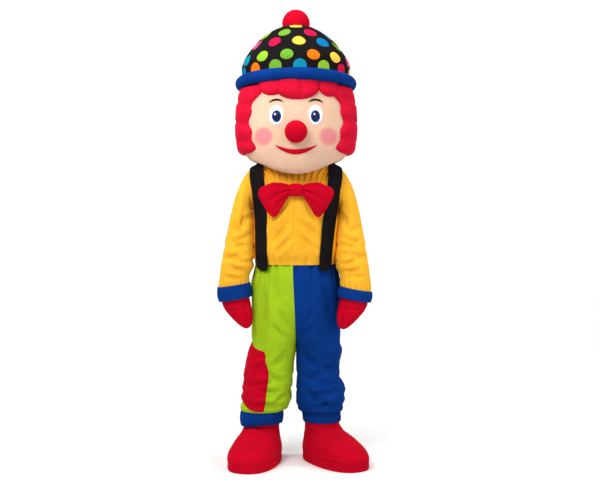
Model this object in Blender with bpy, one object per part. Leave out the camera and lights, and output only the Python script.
"""A worn clown costume, built piece by piece in metres: a padded head with hair and hat, a yellow
shirt with braces and a bow, two-coloured trousers, mitten gloves and big soft boots.
Heights are measured from the floor, the front faces -Y, and the origin is at the neck."""

import bmesh
import bpy
import numpy as np

NECK_HEIGHT = 1.300
CLOTH = 0.0025
SEAM = 0.0004
LIFT = 0.0008
FOAM = 0.010
STEP = 1e-4


class Table:
    """Rows of named sizes, read between its rows along a smooth curve that never overshoots them."""

    def __init__(self, columns, *rows):
        self.names = columns.split()
        self.rows = np.array(rows, float)

    def __call__(self, name, at):
        x, y = self.rows[:, 0], self.rows[:, self.names.index(name)]
        secant = np.diff(y) / np.diff(x)
        slope = np.concatenate([secant[:1], np.zeros(len(y) - 2), secant[-1:]])
        same_way = secant[:-1] * secant[1:] > 0
        mean = 2 * secant[:-1] * secant[1:] / np.where(same_way, secant[:-1] + secant[1:], 1)
        slope[1:-1] = np.where(same_way, mean, 0)
        i = np.clip(np.searchsorted(x, at) - 1, 0, len(x) - 2)
        width = x[i + 1] - x[i]
        s = np.clip((at - x[i]) / width, 0, 1)
        start = (1 + 2 * s) * (1 - s) ** 2 * y[i] + s * (1 - s) ** 2 * width * slope[i]
        return start + s * s * (3 - 2 * s) * y[i + 1] - s * s * (1 - s) * width * slope[i + 1]


# Sizes of the pieces, each table a row for each section

TORSO = Table(
    "along height half_width front back",
    (-0.10, 0.790, 0.187, 0.146, 0.136),
    (0.00, 0.845, 0.176, 0.138, 0.125),
    (0.14, 0.905, 0.184, 0.150, 0.132),
    (0.30, 1.000, 0.181, 0.150, 0.136),
    (0.45, 1.085, 0.182, 0.143, 0.136),
    (0.60, 1.165, 0.194, 0.130, 0.131),
    (0.72, 1.225, 0.205, 0.116, 0.122),
    (0.79, 1.247, 0.197, 0.109, 0.114),
    (0.84, 1.266, 0.168, 0.103, 0.107),
    (0.90, 1.283, 0.134, 0.098, 0.101),
    (0.95, 1.297, 0.113, 0.095, 0.097),
    (1.00, 1.325, 0.104, 0.092, 0.094),
)
TORSO_SQUARENESS = 0.05
ARMHOLE_MIDDLE, ARMHOLE_REACH, ARMHOLE_STEPS = 0.62, 0.17, 6
ARMHOLE_HALF_ANGLE = np.radians(24)
SEAM_ANGLE, MIDDLE_SEAM = 0.002, 0.0007
SHIRT_FOOT, BACK_COLUMNS = 0.0007, 18
NECK_GATHERS = 24
NECK_GATHER_DEPTH = 0.006

SLEEVE = Table(
    "along outer_x outer_z inner_x inner_z middle_y half_depth",
    (0.00, 0.197, 1.247, 0.182, 1.085, 0.000, 0.080),
    (0.08, 0.216, 1.226, 0.192, 1.062, -0.002, 0.078),
    (0.18, 0.236, 1.190, 0.191, 1.042, -0.005, 0.076),
    (0.30, 0.254, 1.144, 0.189, 1.008, -0.010, 0.073),
    (0.44, 0.276, 1.058, 0.188, 0.955, -0.018, 0.070),
    (0.57, 0.291, 0.981, 0.188, 0.905, -0.028, 0.067),
    (0.70, 0.306, 0.895, 0.188, 0.858, -0.038, 0.066),
    (0.82, 0.3175, 0.815, 0.193, 0.808, -0.047, 0.066),
    (0.91, 0.3225, 0.742, 0.195, 0.764, -0.054, 0.066),
    (1.00, 0.3170, 0.689, 0.188, 0.712, -0.058, 0.066),
)
CUFF_START, SLEEVE_END, CUFF_END = 0.905, 0.97, 1.0
ARM_SWING = {"left": (-0.007, -0.034, 0), "right": (0.005, 0, 0)}
CUFF_THICKNESS, WRIST_EASE = 0.006, 0.003

LEG_COLUMNS = "height middle half_width front back"
HIP_ROWS = (
    (0.500, 0.095, 0.0965, 0.118, 0.122),
    (0.540, 0.084, 0.1075, 0.128, 0.132),
    (0.600, 0.064, 0.1270, 0.138, 0.140),
    (0.700, 0.0335, 0.1575, 0.146, 0.142),
    (0.790, 0.012, 0.1770, 0.146, 0.136),
    (0.845, 0.000, 0.1760, 0.138, 0.125),
)
GREEN_LEG = Table(
    LEG_COLUMNS,
    (0.150, 0.148, 0.0900, 0.0860, 0.0860),
    (0.180, 0.148, 0.0920, 0.0870, 0.0870),
    (0.213, 0.146, 0.0920, 0.0880, 0.0880),
    (0.232, 0.138, 0.1030, 0.0980, 0.0960),
    (0.265, 0.131, 0.1050, 0.1030, 0.1010),
    (0.315, 0.125, 0.1020, 0.1000, 0.1000),
    (0.360, 0.120, 0.1020, 0.1000, 0.1020),
    (0.420, 0.114, 0.1000, 0.1040, 0.1080),
    (0.475, 0.1025, 0.0985, 0.1120, 0.1160),
    *HIP_ROWS,
)
BLUE_LEG = Table(
    LEG_COLUMNS,
    (0.150, 0.112, 0.0785, 0.0785, 0.0785),
    (0.170, 0.112, 0.0785, 0.0785, 0.0785),
    (0.213, 0.108, 0.0800, 0.0800, 0.0800),
    (0.232, 0.106, 0.0960, 0.0940, 0.0920),
    (0.265, 0.107, 0.1030, 0.1030, 0.1000),
    (0.315, 0.105, 0.0990, 0.1000, 0.0980),
    (0.360, 0.094, 0.0860, 0.0960, 0.0960),
    (0.420, 0.0965, 0.0905, 0.1020, 0.1040),
    (0.475, 0.1015, 0.0980, 0.1110, 0.1150),
    *HIP_ROWS,
)
WAIST_HEIGHT, CROTCH_HEIGHT, LEG_HEM_HEIGHT = 0.845, 0.490, 0.2135
HEM_BOTTOM = 0.168
WAIST_GATHERS = 11
WAIST_GATHER_DEPTH = 0.005
HEM_GATHERS = 20
HEM_GATHER_DEPTH = 0.0035

HEAD = Table(
    "along height half_width front back side_lift",
    (0.00, 1.226, 0.147, 0.133, 0.142, 0.0686),
    (0.06, 1.224, 0.168, 0.160, 0.158, 0.0666),
    (0.13, 1.238, 0.190, 0.186, 0.178, 0.0500),
    (0.22, 1.280, 0.210, 0.208, 0.197, 0.0220),
    (0.32, 1.340, 0.226, 0.222, 0.213, 0.0000),
    (0.45, 1.420, 0.235, 0.228, 0.224, 0.0000),
    (0.58, 1.500, 0.232, 0.224, 0.223, 0.0000),
    (0.68, 1.570, 0.218, 0.210, 0.212, 0.0000),
    (0.76, 1.620, 0.201, 0.194, 0.197, 0.0000),
    (0.85, 1.675, 0.163, 0.158, 0.162, 0.0000),
    (0.93, 1.712, 0.100, 0.098, 0.100, 0.0000),
    (1.00, 1.725, 0.000, 0.000, 0.000, 0.0000),
)

BRIM_HEIGHT, BRIM_SLOPE = 1.612, 0.045
BRIM_HALF_WIDTH, BRIM_HALF_HEIGHT = 0.027, 0.028
CROWN = Table(
    "along rise half_width",
    (0.00, 0.000, 0.2290),
    (0.18, 0.040, 0.2310),
    (0.36, 0.090, 0.2080),
    (0.54, 0.135, 0.1760),
    (0.70, 0.172, 0.1380),
    (0.84, 0.202, 0.0920),
    (0.94, 0.215, 0.0500),
    (1.00, 0.218, 0.0000),
)
CROWN_FOLDS = 8
POMPOM_HALF_WIDTH, POMPOM_TOP, POMPOM_FOOT = 0.060, 0.050, 0.020

BOOT = Table(
    "height half_width front back",
    (0.0183, 0.0985, 0.282, 0.090),
    (0.035, 0.1000, 0.284, 0.091),
    (0.060, 0.0985, 0.271, 0.089),
    (0.085, 0.0930, 0.236, 0.086),
    (0.110, 0.0850, 0.172, 0.082),
    (0.130, 0.0770, 0.110, 0.078),
    (0.150, 0.0740, 0.080, 0.076),
    (0.170, 0.0755, 0.0760, 0.0760),
    (0.205, 0.0745, 0.0745, 0.0745),
)
BOOT_TOE_WIDENING = 0.06
BOOT_WALL, SOLE_THICKNESS, SOLE_LIP = 0.008, 0.018, 0.004
ANKLE_Y = {"green": 0.0050, "blue": 0}
BOOT_TURN = {"green": np.radians(-15), "blue": np.radians(33)}
ANKLE_X = {"green": -0.146, "blue": 0.112}

GLOVE = Table(
    "along outer_x outer_z inner_x inner_z middle_y half_depth",
    (0.14, 0.3080, 0.676, 0.1920, 0.699, -0.061, 0.0590),
    (0.28, 0.2950, 0.652, 0.1860, 0.676, -0.073, 0.0500),
    (0.46, 0.2720, 0.626, 0.1790, 0.645, -0.084, 0.0430),
    (0.64, 0.2480, 0.602, 0.1780, 0.616, -0.090, 0.0360),
    (0.82, 0.2250, 0.584, 0.1830, 0.592, -0.094, 0.0260),
    (0.94, 0.2090, 0.577, 0.1930, 0.580, -0.096, 0.0120),
    (1.00, 0.2010, 0.576, 0.2010, 0.576, -0.096, 0.0000),
)
THUMB_CREASE, CREASE_HALF_WIDTH, CREASE_DEPTH = np.radians(120), np.radians(9), 0.010

BRACE_HALF_WIDTH, BRACE_THICKNESS, BRACE_LIFT = 0.028, 0.003, 0.0042
BRACE_END_HEIGHT = 0.812
BRACE_PATH = Table(
    "along distance_out",
    (-0.10, 0.133),
    (0.30, 0.136),
    (0.60, 0.146),
    (0.72, 0.151),
    (1.00, 0.156),
)

BOW_Y, BOW_KNOT_HEIGHT = -0.1532, 1.158
BOW_WING = Table(
    "along top_x top_z bottom_x bottom_z half_thickness",
    (0.00, 0.028, 1.178, 0.028, 1.138, 0.010),
    (0.20, 0.052, 1.187, 0.045, 1.108, 0.015),
    (0.45, 0.088, 1.188, 0.062, 1.074, 0.018),
    (0.70, 0.122, 1.174, 0.078, 1.048, 0.015),
    (0.90, 0.148, 1.158, 0.089, 1.036, 0.009),
    (1.00, 0.158, 1.150, 0.094, 1.035, 0.003),
)


# Folds: soft troughs, a row for each: where its middle lies, its half length, half width, turn and depth

FOLD_COLUMNS = "u v half_length half_width turn depth"
SLEEVE_FOLDS = (
    (70, 0.50, 40, 0.030, -0.9, 0.008),
    (95, 0.62, 45, 0.026, 1.2, 0.007),
    (60, 0.72, 40, 0.022, -0.5, 0.007),
    (110, 0.80, 40, 0.020, 0.6, 0.006),
    (-90, 0.55, 45, 0.030, -0.8, 0.007),
    (-110, 0.70, 45, 0.024, 0.6, 0.006),
    (130, 0.30, 30, 0.050, -2.0, 0.007),
    (-130, 0.32, 30, 0.050, 2.0, 0.007),
)
LEG_FOLDS = (
    (-60, 0.252, 70, 0.013, 0.10, 0.012),
    (-120, 0.290, 50, 0.014, -0.25, 0.010),
    (-50, 0.325, 50, 0.014, 0.20, 0.009),
    (80, 0.270, 70, 0.014, -0.10, 0.010),
    (140, 0.320, 50, 0.014, 0.20, 0.008),
    (-100, 0.385, 40, 0.016, 0.35, 0.007),
    (100, 0.420, 45, 0.018, -0.30, 0.007),
    (-75, 0.455, 45, 0.018, 0.40, 0.006),
)


def folds(rows, u, v):
    """How far the cloth dips: each trough is a bell in a turned ellipse, u in degrees and v as the table's own."""
    depth = np.zeros(np.broadcast(u, v).shape)
    for middle_u, middle_v, half_length, half_width, turn, deep in rows:
        along = (u - middle_u) / half_length
        across = (v - middle_v) / half_width - turn * along
        depth = depth + deep * np.exp(-(along**2) - across**2)
    return depth


def smooth(x):
    """0 below 0, 1 above 1, and an even S between."""
    x = np.clip(x, 0, 1)
    return x * x * (3 - 2 * x)


def points(x, y, z):
    return np.stack(np.broadcast_arrays(x, y, z), -1)


def unit(vectors):
    return vectors / np.maximum(np.linalg.norm(vectors, axis=-1, keepdims=True), 1e-12)


def normals(surface, u, v):
    """Outward directions of surface(u, v), from its slopes along u and v."""
    across = surface(u + STEP, v) - surface(u - STEP, v)
    upward = surface(u, v + STEP) - surface(u, v - STEP)
    return unit(np.cross(across, upward))


def moved_out(surface, distance):
    """The same surface moved out along its normals by a distance, or by distance(u, v)."""

    def shifted(u, v):
        far = distance(u, v) if callable(distance) else distance
        return surface(u, v) + np.asarray(far)[..., None] * normals(surface, u, v)

    return shifted


# The torso and what is cut from it


def torso(angle, along):
    """Rings up the body: an ellipse of unlike front and back depth, fuller at its corners."""
    fuller = 1 + TORSO_SQUARENESS * (1 - np.cos(4 * angle)) / 2
    front, back = TORSO("front", along), TORSO("back", along)
    depth = np.where(np.sin(angle) < 0, front, back) * fuller
    x = TORSO("half_width", along) * np.cos(angle) * fuller
    return points(x, depth * np.sin(angle), TORSO("height", along))


def armhole_limit(along):
    """The angle from the side at which a shirt panel ends, 0 on the side and shoulder seams."""
    inside = 1 - ((along - ARMHOLE_MIDDLE) / ARMHOLE_REACH) ** 2
    return ARMHOLE_HALF_ANGLE * np.sqrt(np.clip(inside, 0, 1))


def neck_gathers(share, along):
    """How far the shirt dips between the gathers under the collar, deepest at the neck."""
    middle = smooth((0.5 - np.abs(share - 0.5) - 0.12) / 0.10)
    middle = np.maximum(middle, smooth((along - 0.92) / 0.06))
    depth = NECK_GATHER_DEPTH * smooth((along - 0.60) / 0.25) * middle
    return depth * (1 - np.cos(np.pi * NECK_GATHERS * share)) / 2


def chest_folds(share, along):
    """Slanting troughs that fall from the middle seam, and the blouse over the waist."""
    beside = np.abs(share - 0.5)
    slant = along - 0.30 - 0.55 * beside
    pulls = 0.003 * np.cos(2 * np.pi * slant / 0.13) * np.exp(-((beside - 0.14) ** 2) / 0.008)
    return np.clip(pulls, 0, 1) * np.exp(-((along - 0.25) ** 2) / 0.05)


def shirt(front):
    """A shirt panel: share runs across it from one side or armhole to the other, along runs up it."""

    def surface(share, along):
        limit = armhole_limit(along) + SEAM_ANGLE
        start = -np.pi + limit if front else limit
        angle = start + share * (np.pi - 2 * limit)
        dip = neck_gathers(share, along) + chest_folds(share, along)
        return torso(angle, along) - dip[..., None] * normals(torso, angle, along)

    return surface


def armhole(angle):
    """The torso's point on the armhole's edge, 0 at its top and half a turn at its foot, front first."""
    side = -ARMHOLE_HALF_ANGLE * np.sin(angle)
    return torso(side, ARMHOLE_MIDDLE + ARMHOLE_REACH * np.cos(angle))


def ring_between(table, angle, along):
    """A ring through an outer and an inner point, as wide from front to back as its half depth."""
    outer = points(table("outer_x", along), 0, table("outer_z", along))
    inner = points(table("inner_x", along), 0, table("inner_z", along))
    centre, reach = (outer + inner) / 2, (outer - inner) / 2
    ring = centre + reach * np.cos(angle)[..., None]
    ring[..., 1] = table("middle_y", along) - table("half_depth", along) * np.sin(angle)
    return ring


def sleeve(angle, along):
    """The sleeve's rings, eased into the armhole's own curve over the shoulder."""
    ring = ring_between(SLEEVE, angle, along)
    start = ring_between(SLEEVE, angle, np.zeros_like(along))
    ease = 1 - smooth(along / 0.30)
    dip = folds(SLEEVE_FOLDS, np.degrees(angle), along) * smooth((along - 0.1) / 0.15)
    dip = dip * smooth((CUFF_START - along) / 0.05)
    inward = (ring_between(SLEEVE, angle + np.pi, along) - ring) * 0.5
    return ring + (armhole(angle) - start) * ease[..., None] + dip[..., None] * unit(inward)


# Trousers


def leg_limit(table, height):
    """Half the angle that the leg's cloth covers: to the middle seam above the crotch, and all round below."""
    share = table("middle", height) / table("half_width", height)
    return np.arccos(np.clip(-share, -1, 0))


def leg(table, folding=LEG_FOLDS, gathered_hem=False):
    """A trouser leg: turn runs from the front seam (-1) round the outside to the back seam (1)."""

    def surface(turn, height):
        angle = turn * leg_limit(table, height)
        gather = (1 - np.cos(2 * np.pi * WAIST_GATHERS * (turn + 1) / 2)) / 2
        dip = gather * WAIST_GATHER_DEPTH * smooth((height - 0.74) / 0.09)
        dip = dip + folds(folding, np.degrees(angle), height) * smooth((height - 0.222) / 0.02)
        if gathered_hem:
            near_hem = smooth((0.245 - height) / 0.03)
            dip = dip + near_hem * HEM_GATHER_DEPTH * gather
        half_width = table("half_width", height) - dip
        depth = np.where(angle < 0, table("front", height), table("back", height)) - dip
        x = table("middle", height) + half_width * np.cos(angle)
        return points(np.maximum(x, SEAM / 2), depth * np.sin(angle), height)

    return surface


# Head


def head(angle, along):
    """The padded head's rings, whose lower edge rises at the sides to clear the shoulders."""
    depth = np.where(np.sin(angle) < 0, HEAD("front", along), HEAD("back", along))
    lift = HEAD("side_lift", along) * np.cos(angle) ** 2
    x = HEAD("half_width", along) * np.cos(angle)
    return points(x, depth * np.sin(angle), HEAD("height", along) + lift)


def head_along(height):
    """Where up the head a height lies, above the chin."""
    rows = np.linspace(0.2, 1, 400)
    return np.interp(height, HEAD("height", rows), rows)


# Meshes


def grid_faces(rows, columns, start, closed):
    """Quads of a grid of points, as index rows."""
    last = columns if closed else columns - 1
    i, j = np.meshgrid(np.arange(rows - 1), np.arange(last), indexing="ij")
    nxt = (j + 1) % columns
    corners = (i * columns + j, i * columns + nxt, (i + 1) * columns + nxt, (i + 1) * columns + j)
    return start + np.stack(corners, -1).reshape(-1, 4)


def between(outer, inner, closed=False, start_open=True, end_open=True):
    """A closed wall between two like grids of points, with rims round its open edges."""
    rows, columns = outer.shape[:2]
    count = rows * columns
    index = np.arange(count).reshape(rows, columns)
    faces = [grid_faces(rows, columns, 0, closed), grid_faces(rows, columns, count, closed)[:, ::-1]]
    edges = []
    if start_open:
        edges.append(index[0][::-1])
    if end_open:
        edges.append(index[-1])
    for edge in edges:
        ring = np.append(edge, edge[0]) if closed else edge
        faces.append(np.stack([ring[:-1], ring[:-1] + count, ring[1:] + count, ring[1:]], -1)[:, ::-1])
    if not closed:
        for edge in (index[:, 0], index[::-1, -1]):
            faces.append(np.stack([edge[:-1], edge[:-1] + count, edge[1:] + count, edge[1:]], -1)[:, ::-1])
    return np.concatenate([outer.reshape(-1, 3), inner.reshape(-1, 3)]), np.concatenate(faces)


def material(name, colour, roughness):
    made = bpy.data.materials.get(name) or bpy.data.materials.new(name)
    made.use_nodes = True
    shader = made.node_tree.nodes["Principled BSDF"]
    shader.inputs["Base Color"].default_value = (*colour, 1)
    shader.inputs["Roughness"].default_value = roughness
    shader.inputs["Metallic"].default_value = 0
    return made


FINISHES = {
    "yellow": ((0.95, 0.50, 0.03), 0.9),
    "red": ((0.62, 0.006, 0.02), 0.9),
    "blue": ((0.006, 0.05, 0.27), 0.9),
    "green": ((0.36, 0.60, 0.02), 0.9),
    "black": ((0.01, 0.01, 0.01), 0.9),
    "skin": ((0.85, 0.52, 0.34), 0.9),
    "white": ((0.85, 0.85, 0.83), 0.8),
}


def add(name, finish, vertices, faces, turn=0.0, at=(0, 0)):
    """An object in the costume's collection, its faces pointing out and its poles merged."""
    mesh = bpy.data.meshes.new(name)
    mesh.from_pydata([tuple(p) for p in vertices], [], [tuple(map(int, f)) for f in faces])
    work = bmesh.new()
    work.from_mesh(mesh)
    bmesh.ops.remove_doubles(work, verts=work.verts, dist=1e-6)
    bmesh.ops.triangulate(work, faces=[f for f in work.faces if len(f.verts) > 3])
    if work.calc_volume(signed=True) < 0:
        bmesh.ops.reverse_faces(work, faces=work.faces)
    work.to_mesh(mesh)
    work.free()
    mesh.shade_smooth()
    mesh.set_sharp_from_angle(angle=np.radians(50))
    mesh.materials.append(material(finish, *FINISHES[finish]))
    made = bpy.data.objects.new(name, mesh)
    made.parent = FRAME
    made.location = (*at, 0)
    made.rotation_euler = (0, 0, turn)
    COSTUME.objects.link(made)
    return made


def mirrored(vertices, side):
    """The points for the wearer's left side (+1) or, turned over the middle plane, the right (-1)."""
    return vertices * np.array([side, 1, 1])


def wall(surface, u, v, thickness, **edges):
    """A cloth wall: the surface's points, and the same moved in by the thickness."""
    return between(surface(u, v), moved_out(surface, -thickness)(u, v), **edges)


SIDES = (("left", 1), ("right", -1))


def make_shirt():
    reach = np.arange(1, ARMHOLE_STEPS + 1) / ARMHOLE_STEPS
    at_armhole = ARMHOLE_MIDDLE - ARMHOLE_REACH * np.cos(np.pi * reach)
    low_rows = [SHIRT_FOOT, 0.15, 0.30, ARMHOLE_MIDDLE - ARMHOLE_REACH]
    rows = np.concatenate([low_rows, at_armhole, [0.84, 0.89, 0.94, 1]])
    half = NECK_GATHERS // 2
    columns = np.arange(NECK_GATHERS + 1) / NECK_GATHERS
    right, left = columns[: half + 1].copy(), columns[half:].copy()
    right[-1] -= MIDDLE_SEAM
    left[0] += MIDDLE_SEAM
    spans = (
        ("shirt_front_right", True, right),
        ("shirt_front_left", True, left),
        ("shirt_back", False, np.linspace(0, 1, BACK_COLUMNS + 1)),
    )
    for name, front, span in spans:
        u, v = np.meshgrid(span, rows)
        add(name, "yellow", *wall(shirt(front), u, v, CLOTH))


def make_sleeves():
    columns = 2 * ARMHOLE_STEPS
    angle = np.radians(np.arange(columns) * 360 / columns - 180)
    rows = np.array([0, 0.05, 0.12, 0.21, 0.32, 0.44, 0.54, 0.63, 0.72, 0.81, CUFF_START, SLEEVE_END])
    u, v = np.meshgrid(angle, rows)
    outer = sleeve(u, v)
    inner = outer - CLOTH * normals(sleeve, u, v)
    side, up = -ARMHOLE_HALF_ANGLE * np.sin(angle), ARMHOLE_MIDDLE + ARMHOLE_REACH * np.cos(angle)
    outward = normals(torso, side, up)
    into = torso(0 * side, 0 * up + ARMHOLE_MIDDLE) - armhole(angle)
    into = unit(into - outward * np.sum(into * outward, -1, keepdims=True))
    outer[0] = armhole(angle) + 2 * SEAM * into
    underarm = (1 - np.cos(angle))[:, None] / 2
    inner[0] = outer[0] - CLOTH * outward + 1.6 * CLOTH * underarm * into
    cu, cv = np.meshgrid(angle, np.array([CUFF_START, SLEEVE_END, CUFF_END]))
    base = moved_out(sleeve, LIFT)(cu, cv)
    flare = np.array([0.0, 0.002, 0.001])[:, None, None]
    out = base + (CUFF_THICKNESS + flare) * normals(sleeve, cu, cv)
    swing = smooth(v / 0.9)[..., None]
    for name, way in SIDES:
        shift = np.array(ARM_SWING[name])
        vertices, faces = between(outer + swing * shift, inner + swing * shift, closed=True)
        add(f"sleeve_{name}", "yellow", mirrored(vertices, way), faces)
        vertices, faces = between(out + shift, base + shift, closed=True)
        add(f"cuff_{name}", "blue", mirrored(vertices, way), faces)


PATCH_LIFT = 0.0051
LEG_HEIGHTS = np.array(
    [LEG_HEM_HEIGHT, 0.228, 0.245, 0.262, 0.282, 0.305, 0.335, 0.370, 0.410, 0.450]
    + [CROTCH_HEIGHT, 0.530, 0.600, 0.690, 0.770, 0.810, WAIST_HEIGHT - SEAM]
)
LEG_TURNS = np.linspace(-1, 1, 2 * WAIST_GATHERS + 1)
LEG_TURNS[[0, -1]] *= 0.997


def make_trousers():
    u, v = np.meshgrid(LEG_TURNS, LEG_HEIGHTS)
    for name, table, way, gathered in (("right", GREEN_LEG, -1, False), ("left", BLUE_LEG, 1, True)):
        vertices, faces = wall(leg(table, gathered_hem=gathered), u, v, CLOTH)
        finish = "green" if name == "right" else "blue"
        add(f"trouser_leg_{name}", finish, mirrored(vertices, way), faces)


def make_hems():
    """The turned blue cuff on the green leg, and the blue leg's elastic casing with its gathers."""
    angle = np.radians(np.arange(20) * 18.0)
    heights = np.array([0.163, 0.180, 0.200, LEG_HEM_HEIGHT - SEAM])
    plain = leg(GREEN_LEG, folding=())
    u, v = np.meshgrid(angle / np.pi - 1, heights)
    outer = plain(u, v)
    droop = 0.014 * np.clip(np.cos(angle - np.radians(160)), 0, 1) ** 2
    outer[:2, :, 2] -= droop * np.array([1, 0.5])[:, None]
    inner = outer - 0.004 * normals(plain, u, v)
    vertices, faces = between(outer, inner, closed=True)
    add("turned_cuff_right", "blue", mirrored(vertices, -1), faces)

    angle = np.radians(np.arange(2 * HEM_GATHERS) * 180 / HEM_GATHERS)
    heights = np.array([HEM_BOTTOM, 0.191, LEG_HEM_HEIGHT - SEAM])
    u, v = np.meshgrid(angle / np.pi - 1, heights)
    outer = leg(BLUE_LEG, folding=())(u, v)
    crest = (1 + np.cos(HEM_GATHERS * angle)) / 2
    out = points(np.cos(angle + np.pi), np.sin(angle + np.pi), 0)
    ridge = HEM_GATHER_DEPTH * crest * np.array([0.7, 1, 0.4])[:, None]
    outer = outer + (0.0005 + ridge)[..., None] * out
    inner = outer - 0.0022 * out
    add("elastic_hem_left", "blue", *between(outer, inner, closed=True))


PATCH = Table(
    "height front_edge back_edge",
    (0.228, -88, 24),
    (0.262, -93, 28),
    (0.285, -88, 33),
    (0.320, -96, 29),
    (0.360, -89, 25),
    (0.400, -90, 30),
    (0.430, -80, 28),
    (0.450, -72, 24),
    (0.490, -36, 14),
)
PATCH_FOOT, PATCH_TOP = 0.245, CROTCH_HEIGHT + 0.001


def on_leg_cloth(surface, turn, height):
    """Points of the leg's own flat facets, between its rows and columns."""
    i = np.clip(np.searchsorted(LEG_HEIGHTS, height) - 1, 0, len(LEG_HEIGHTS) - 2)
    share = ((height - LEG_HEIGHTS[i]) / (LEG_HEIGHTS[i + 1] - LEG_HEIGHTS[i]))[..., None]
    grid = surface(*np.meshgrid(LEG_TURNS, LEG_HEIGHTS))
    j = np.clip(np.searchsorted(LEG_TURNS, turn) - 1, 0, len(LEG_TURNS) - 2)
    across = ((turn - LEG_TURNS[j]) / (LEG_TURNS[j + 1] - LEG_TURNS[j]))[..., None]
    low = grid[i, j] * (1 - across) + grid[i, j + 1] * across
    high = grid[i + 1, j] * (1 - across) + grid[i + 1, j + 1] * across
    return low * (1 - share) + high * share


def make_patch():
    """The wavy red patch sewn on the outside of the green leg, laid on the leg's own cloth."""
    rows = LEG_HEIGHTS[(LEG_HEIGHTS > PATCH_FOOT - STEP) & (LEG_HEIGHTS < PATCH_TOP)]
    heights = np.sort(np.concatenate([rows, (rows[3:-1] + rows[4:]) / 2]))[:, None]
    limit = np.degrees(leg_limit(GREEN_LEG, heights))
    own = LEG_TURNS[None] * limit
    turn = np.clip(own, PATCH("front_edge", heights), PATCH("back_edge", heights))[:, 5:15] / limit
    height = heights + 0 * turn
    surface = leg(GREEN_LEG)
    cloth, out = on_leg_cloth(surface, turn, height), normals(surface, turn, height)
    vertices, faces = between(cloth + PATCH_LIFT * out, cloth + (PATCH_LIFT - 0.002) * out)
    add("leg_patch_right", "red", mirrored(vertices, -1), faces)


def brace_track(distance_out):
    """Angles and rows of the torso along one brace edge, up the front, over the shoulder, down the back."""
    low = np.interp(BRACE_END_HEIGHT, TORSO.rows[:, 1], TORSO.rows[:, 0])
    front_rows = np.array([low, 0.0, 0.15, 0.30, 0.45, 0.535, 0.62, 0.68])
    shift = distance_out - BRACE_PATH("distance_out", np.array([1.0]))[0]
    wide = BRACE_PATH("distance_out", front_rows) + shift
    up = np.arccos(np.clip(wide / TORSO("half_width", front_rows), 0, 1))
    over = np.linspace(-1, 1, 9) * up[-1] * 0.93
    high = np.linspace(0.72, 1, 300)
    width = TORSO("half_width", high)
    over_rows = np.interp(-distance_out / np.cos(over), -width, high)
    angle = np.concatenate([-up, over, up[::-1]])
    return angle, np.concatenate([front_rows, over_rows, front_rows[::-1]])


def make_braces():
    centre = BRACE_PATH("distance_out", np.array([1.0]))[0]
    offsets = np.linspace(-1, 1, 4) * BRACE_HALF_WIDTH
    tracks = [brace_track(centre + offset) for offset in offsets]
    angle = np.stack([track[0] for track in tracks], 1)
    along = np.stack([track[1] for track in tracks], 1)
    lower = moved_out(torso, BRACE_LIFT)(angle, along)
    upper = moved_out(torso, BRACE_LIFT + BRACE_THICKNESS)(angle, along)
    for end in (0, -1):
        for grid in (lower, upper):
            grid[end, 1:3, 2] -= 0.008
    for name, way in SIDES:
        vertices, faces = between(upper, lower)
        add(f"brace_{name}", "black", mirrored(vertices, way), faces)


def make_bow():
    along = np.linspace(0, 1, 7)
    across = np.linspace(0, 1, 8)
    s, r = np.meshgrid(along, across, indexing="ij")
    x = BOW_WING("top_x", s) * (1 - r) + BOW_WING("bottom_x", s) * r
    z = BOW_WING("top_z", s) * (1 - r) + BOW_WING("bottom_z", s) * r
    thick = BOW_WING("half_thickness", s) * np.sqrt(np.clip(np.sin(np.pi * r), 0.02, 1))
    dent = 1 - 0.35 * np.exp(-(((r - 0.42) / 0.10) ** 2)) * (1 - s)
    front = points(x, BOW_Y - thick * dent, z)
    back = points(x, BOW_Y + thick * 0.8, z)
    for name, way in SIDES:
        vertices, faces = between(front, back)
        add(f"bow_wing_{name}", "red", mirrored(vertices, way), faces)
    angle = np.radians(np.arange(12) * 30.0)
    across = np.array([-1, -0.85, 0, 0.85, 1]) * 0.0275
    u, v = np.meshgrid(angle, across)
    swell = np.array([0.86, 0.97, 1, 0.97, 0.86])[:, None]
    knot_front = BOW_Y + 0.002
    outer = points(v, knot_front + 0.0195 * swell * np.cos(u), BOW_KNOT_HEIGHT + 0.026 * swell * np.sin(u))
    hub = points(v, knot_front, BOW_KNOT_HEIGHT)
    add("bow_knot", "red", *between(outer, hub + (outer - hub) * 0.75, closed=True))


def make_head():
    angle = np.radians(np.arange(24) * 15.0)
    rows = np.array([0, 0.03, 0.07, 0.13, 0.21, 0.31, 0.42, 0.53, 0.64, 0.76, 0.86, 0.94])
    u, v = np.meshgrid(angle, rows)
    outer = head(u, v)
    inner = outer - FOAM * normals(head, u, v)
    top = points(0 * angle, 0 * angle, HEAD("height", np.array([1.0]))[0])
    outer = np.concatenate([outer, top[None]])
    inner = np.concatenate([inner, (top - np.array([0, 0, FOAM]))[None]])
    add("head_shell", "skin", *between(outer, inner, closed=True, end_open=False))


def pad(surface, u, v, gap, rise):
    """A stuffed piece on a surface: flat beneath, and rising from a thin edge to its middle."""
    return between(moved_out(surface, gap + rise)(u, v), moved_out(surface, gap)(u, v))


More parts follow.
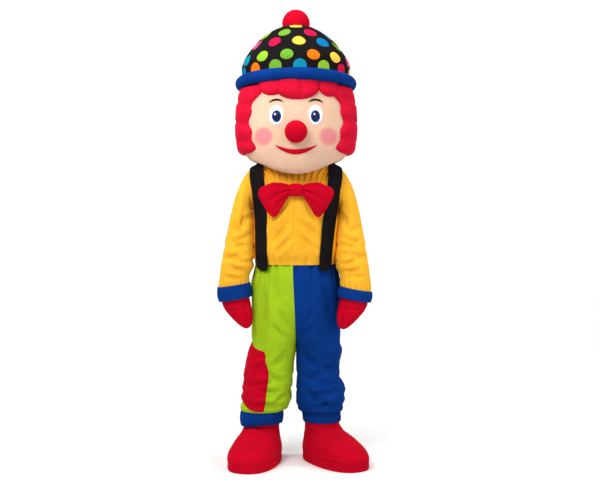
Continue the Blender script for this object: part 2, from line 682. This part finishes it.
def make_hair():
    t = np.linspace(0, 1, 10)
    bottom, top = HAIR_BOTTOM, HAIR_TOP
    height = bottom + t * (top - bottom)
    puffs = (0.75 + 0.25 * np.abs(np.sin(np.pi * 3 * t + 0.2))) * (1 - 0.35 * t**3)
    for name, way in SIDES:
        s = np.linspace(0, 1, 7)
        ss, hh = np.meshgrid(s, height)
        face_edge = np.interp(height, [1.30, 1.36, 1.43, 1.50, 1.565, 1.6], [-44, -36, -29, -31, -44, -48])
        angle = np.radians(face_edge)[:, None] * (1 - ss) + np.radians(35) * ss
        round_end = np.sqrt(np.clip(1 - (1 - np.clip(t / 0.25, 0, 1)) ** 2, 0.03, 1))
        across = np.sqrt(np.clip(np.sin(np.pi * (0.04 + 0.92 * ss)), 0.03, 1))
        rise = 0.034 * across * (puffs * round_end)[:, None]
        vertices, faces = pad(head, angle, head_along(hh), HAIR_SIDE_LIFT, rise)
        add(f"hair_side_{name}", "red", mirrored(vertices, way), faces)
    s = np.linspace(0, 1, 13)
    ss, hh = np.meshgrid(s, bottom + t * (HAIR_BACK_TOP - bottom))
    angle = np.radians(35.5) + ss * np.radians(109)
    round_end = np.sqrt(np.clip(1 - (1 - np.clip(t / 0.25, 0, 1)) ** 2, 0.03, 1))
    waves = 0.8 + 0.2 * np.abs(np.sin(np.pi * 4 * ss))
    rise = 0.030 * waves * (puffs * round_end)[:, None]
    add("hair_back", "red", *pad(head, angle, head_along(hh), HAIR_BACK_LIFT, rise))


HAIR_BOTTOM, HAIR_TOP, HAIR_BACK_TOP = 1.300, 1.565, 1.552
HAIR_SIDE_LIFT, HAIR_BACK_LIFT = 0.0018, 0.0013
FRINGE_LIFT, FELT_LIFT = 0.0005, 0.0004
FRINGE = Table(
    "along middle_x half_width low_height half_thickness lean",
    (0, -0.112, 0.034, 1.538, 0.018, 0.004),
    (1, 0.008, 0.078, 1.522, 0.024, -0.006),
    (2, 0.119, 0.030, 1.532, 0.018, -0.004),
)


def make_fringe():
    for row, name in enumerate(("right", "middle", "left")):
        _, middle, half, low, rise, lean = FRINGE.rows[row]
        s = np.linspace(-1, 1, 7)
        t = np.linspace(0, 1, 6)
        ss, tt = np.meshgrid(s, t)
        narrow = np.sqrt(np.clip(1 - 0.86 * (1 - tt) ** 3, 0, 1))
        x = middle + half * ss * narrow + lean * (1 - tt)
        height = low + tt * (1.580 - low) + 0.006 * ss**2 * (1 - tt)
        along = head_along(height)
        angle = -np.arccos(np.clip(x / HEAD("half_width", along), -1, 1))
        swell = np.sqrt(np.clip(1 - ss**4, 0.04, 1)) * np.sqrt(np.clip(tt * 3, 0.05, 1))
        add(f"fringe_{name}", "red", *pad(head, angle, along, FRINGE_LIFT, rise * swell))


def brim_path(angle):
    """The middle of the rolled brim, round the head just above the brow and higher in front."""
    height = BRIM_HEIGHT - BRIM_SLOPE * 0.2 * np.sin(angle)
    ring = head(angle, head_along(height))
    out = unit(points(np.cos(angle), np.sin(angle), 0))
    return ring + (BRIM_HALF_WIDTH + LIFT) * out, out


def make_hat():
    angle = np.radians(np.arange(24) * 15.0)
    middle, out = brim_path(angle)
    around = np.radians(np.arange(8) * 45.0)
    up = np.array([0, 0, 1.0])
    tube = [middle + BRIM_HALF_WIDTH * np.cos(a) * out + BRIM_HALF_HEIGHT * np.sin(a) * up for a in around]
    rows, columns = len(tube), len(angle)
    grid = np.stack(tube + [tube[0]])
    add("hat_brim", "blue", grid.reshape(-1, 3), grid_faces(rows + 1, columns, 0, True))

    share = np.array([0, 0.09, 0.2, 0.36, 0.54, 0.70, 0.84, 0.93])
    u, v = np.meshgrid(angle, share)
    outer = crown(u, v)
    inner = outer - 0.003 * normals(crown, u, v)
    top = points(0 * angle, 0 * angle, crown_foot() + CROWN("rise", np.array([1.0]))[0])
    outer = np.concatenate([outer, top[None]])
    inner = np.concatenate([inner, (top - np.array([0, 0, 0.003]))[None]])
    outer[0, :, 2] = inner[0, :, 2] = middle[:, 2] + BRIM_HALF_HEIGHT + SEAM
    add("hat_crown", "black", *between(outer, inner, closed=True, end_open=False))

    bpy.ops.mesh.primitive_uv_sphere_add(segments=16, ring_count=10, radius=POMPOM_HALF_WIDTH)
    ball = bpy.context.object
    top_height = crown_foot() + CROWN("rise", np.array([1.0]))[0] + SEAM
    vertices = np.array([v.co for v in ball.data.vertices])
    squash = np.where(vertices[:, 2] > 0, POMPOM_TOP, POMPOM_FOOT) / POMPOM_HALF_WIDTH
    vertices[:, 2] = vertices[:, 2] * squash + POMPOM_FOOT + top_height
    faces = [tuple(f.vertices) for f in ball.data.polygons]
    bpy.data.objects.remove(ball)
    add("pompom", "red", vertices, faces)


def crown_foot():
    return BRIM_HEIGHT + BRIM_HALF_HEIGHT + SEAM


def crown(angle, along):
    """The hat's dome on the brim, pinched into soft folds towards its top."""
    pinch = 1 - 0.035 * (1 - np.cos(CROWN_FOLDS * angle)) / 2 * smooth((along - 0.25) / 0.3)
    width = CROWN("half_width", along) * pinch
    depth = width * 0.985
    y = depth * np.sin(angle)
    return points(width * np.cos(angle), y, crown_foot() + CROWN("rise", along) - BRIM_SLOPE * y * (1 - along))


def oval(middle_x, middle_height, half_width, half_height, rings=3, spokes=14):
    """Points of an oval on the face, as angles and rows of the head, from its middle out."""
    share = np.linspace(0, 1, rings)[:, None]
    turn = np.radians(np.arange(spokes) * 360 / spokes)[None]
    x = middle_x + half_width * share * np.cos(turn)
    height = middle_height + half_height * share * np.sin(turn)
    along = head_along(height)
    return -np.arccos(np.clip(x / HEAD("half_width", along), -1, 1)), along


def felt(name, finish, shape, gap, thickness):
    """A felt shape on the face: a closed disc between two moved-out copies of its ovals."""
    angle, along = shape
    vertices, faces = between(
        moved_out(head, gap + thickness)(angle, along),
        moved_out(head, gap)(angle, along),
        closed=True,
        start_open=False,
    )
    add(name, finish, vertices, faces)


EYE_OUT, EYE_HEIGHT, EYE_HALF_WIDTH, EYE_HALF_HEIGHT = 0.080, 1.462, 0.029, 0.040
PUPIL_HALF_WIDTH, PUPIL_HALF_HEIGHT = 0.014, 0.020
NOSE_HEIGHT, NOSE_RADIUS = 1.392, 0.046


def make_face():
    for name, way in SIDES:
        felt(f"eye_{name}", "white", oval(way * EYE_OUT, EYE_HEIGHT, EYE_HALF_WIDTH, EYE_HALF_HEIGHT), FELT_LIFT, 0.003)
        pupil = oval(way * (EYE_OUT - 0.002), EYE_HEIGHT - 0.006, PUPIL_HALF_WIDTH, PUPIL_HALF_HEIGHT)
        felt(f"pupil_{name}", "black", pupil, FELT_LIFT + 0.0036, 0.002)
    t = np.linspace(-1, 1, 13)
    x = 0.082 * t
    low = 1.302 + 0.034 * t**2
    high = low + 0.004 + 0.016 * (1 - t**2)
    heights = np.stack([low, (low + high) / 2, high])
    along = head_along(heights)
    angle = -np.arccos(np.clip(x[None] / HEAD("half_width", along), -1, 1))
    lips = between(moved_out(head, 0.0030)(angle, along), moved_out(head, 0.0001)(angle, along))
    add("mouth", "red", *lips)

    bpy.ops.mesh.primitive_uv_sphere_add(segments=16, ring_count=10, radius=NOSE_RADIUS)
    ball = bpy.context.object
    face_front = head(np.array(-np.pi / 2), head_along(np.array(NOSE_HEIGHT)))[1]
    vertices = np.array([v.co for v in ball.data.vertices])
    flat_back = 0.30 * NOSE_RADIUS
    vertices[:, 1] = np.minimum(vertices[:, 1], flat_back)
    vertices += np.array([0, face_front - flat_back - LIFT, NOSE_HEIGHT])
    faces = [tuple(f.vertices) for f in ball.data.polygons]
    bpy.data.objects.remove(ball)
    add("nose", "red", vertices, faces)


def mitten(angle, along):
    """The glove's rings, a resting hand with a crease beside its thumb."""
    ring = ring_between(GLOVE, angle, along)
    crease = np.exp(-(((angle - THUMB_CREASE) / CREASE_HALF_WIDTH) ** 2))
    crease = crease * smooth((along - 0.18) / 0.12) * smooth((0.86 - along) / 0.2)
    inward = unit(ring_between(GLOVE, angle + np.pi, along) - ring)
    return ring + CREASE_DEPTH * crease[..., None] * inward


def make_gloves():
    columns = 2 * ARMHOLE_STEPS
    angle = np.radians(np.arange(columns) * 360 / columns - 180)
    beside = THUMB_CREASE + CREASE_HALF_WIDTH * 1.3 * np.array([-1, 1])
    angle = np.sort(np.concatenate([angle, beside]))
    wu, wv = np.meshgrid(angle, np.array([CUFF_START + 0.01, SLEEVE_END]))
    hu, hv = np.meshgrid(angle, GLOVE.rows[:-1, 0])
    wrist_out, hand_out = normals(sleeve, wu, wv), normals(mitten, hu, hv)
    wrist = sleeve(wu, wv) - (CLOTH + WRIST_EASE) * wrist_out
    outer = np.concatenate([wrist, mitten(hu, hv)])
    inner = outer - CLOTH * np.concatenate([wrist_out, hand_out])
    end = ring_between(GLOVE, angle, 0 * angle + 1)
    outer = np.concatenate([outer, end[None]])
    inner = np.concatenate([inner, (end + np.array([0, 0, CLOTH]))[None]])
    for name, way in SIDES:
        shift = np.array(ARM_SWING[name])
        vertices, faces = between(outer + shift, inner + shift, closed=True, end_open=False)
        add(f"glove_{name}", "red", mirrored(vertices, way), faces)


def boot(angle, height):
    """The boot's rings round the ankle: ovals that reach forward low down, widest before the toe."""
    front, back = BOOT("front", height), BOOT("back", height)
    low = smooth((0.15 - height) / 0.05)
    fuller = 1 + 0.05 * (1 - np.cos(4 * angle)) / 2 * low
    wider = 1 - BOOT_TOE_WIDENING * np.sin(angle) * low
    x = BOOT("half_width", height) * np.cos(angle) * fuller * wider
    return points(x, (back - front) / 2 + (back + front) / 2 * np.sin(angle) * fuller, height)


def make_boots():
    angle = np.radians(np.arange(16) * 22.5)
    heights = np.array([SOLE_THICKNESS + SEAM, 0.038, 0.062, 0.087, 0.110, 0.130, 0.150, 0.175, 0.205])
    u, v = np.meshgrid(angle, heights)
    outer = boot(u, v)
    inner = outer - BOOT_WALL * normals(boot, u, v)
    inner[..., 2] = np.clip(inner[..., 2], heights[0], heights[-1])
    inner[0, :, 2] = heights[0]
    inner[-1, :, 2] = heights[-1]
    rim = boot(angle, 0 * angle + heights[0])
    edge = unit(rim * np.array([1, 1, 0])) * SOLE_LIP
    low, high = rim + edge, rim + edge
    low[:, 2] = 0
    high[:, 2] = SOLE_THICKNESS
    middle_low, middle_high = low * 0, high * 0
    middle_high[:, 2] = SOLE_THICKNESS
    sole = np.stack([middle_low, low * [0.985, 0.985, 1], low + [0, 0, 0.004], high, middle_high])
    for leg_name, name in (("green", "right"), ("blue", "left")):
        place = {"turn": BOOT_TURN[leg_name], "at": (ANKLE_X[leg_name], ANKLE_Y[leg_name])}
        add(f"boot_{name}", "red", *between(outer, inner, closed=True), **place)
        faces = grid_faces(len(sole), len(angle), 0, True)
        add(f"boot_sole_{name}", "red", sole.reshape(-1, 3), faces, **place)


for old in list(bpy.data.objects):
    bpy.data.objects.remove(old)
COSTUME = bpy.data.collections.new("clown_costume")
bpy.context.scene.collection.children.link(COSTUME)
FRAME = bpy.data.objects.new("costume_frame", None)
FRAME.location = (0, 0, -NECK_HEIGHT)
COSTUME.objects.link(FRAME)

make_shirt()
make_sleeves()
make_trousers()
make_hems()
make_patch()
make_braces()
make_bow()
make_head()
make_hair()
make_fringe()
make_hat()
make_face()
make_gloves()
make_boots()
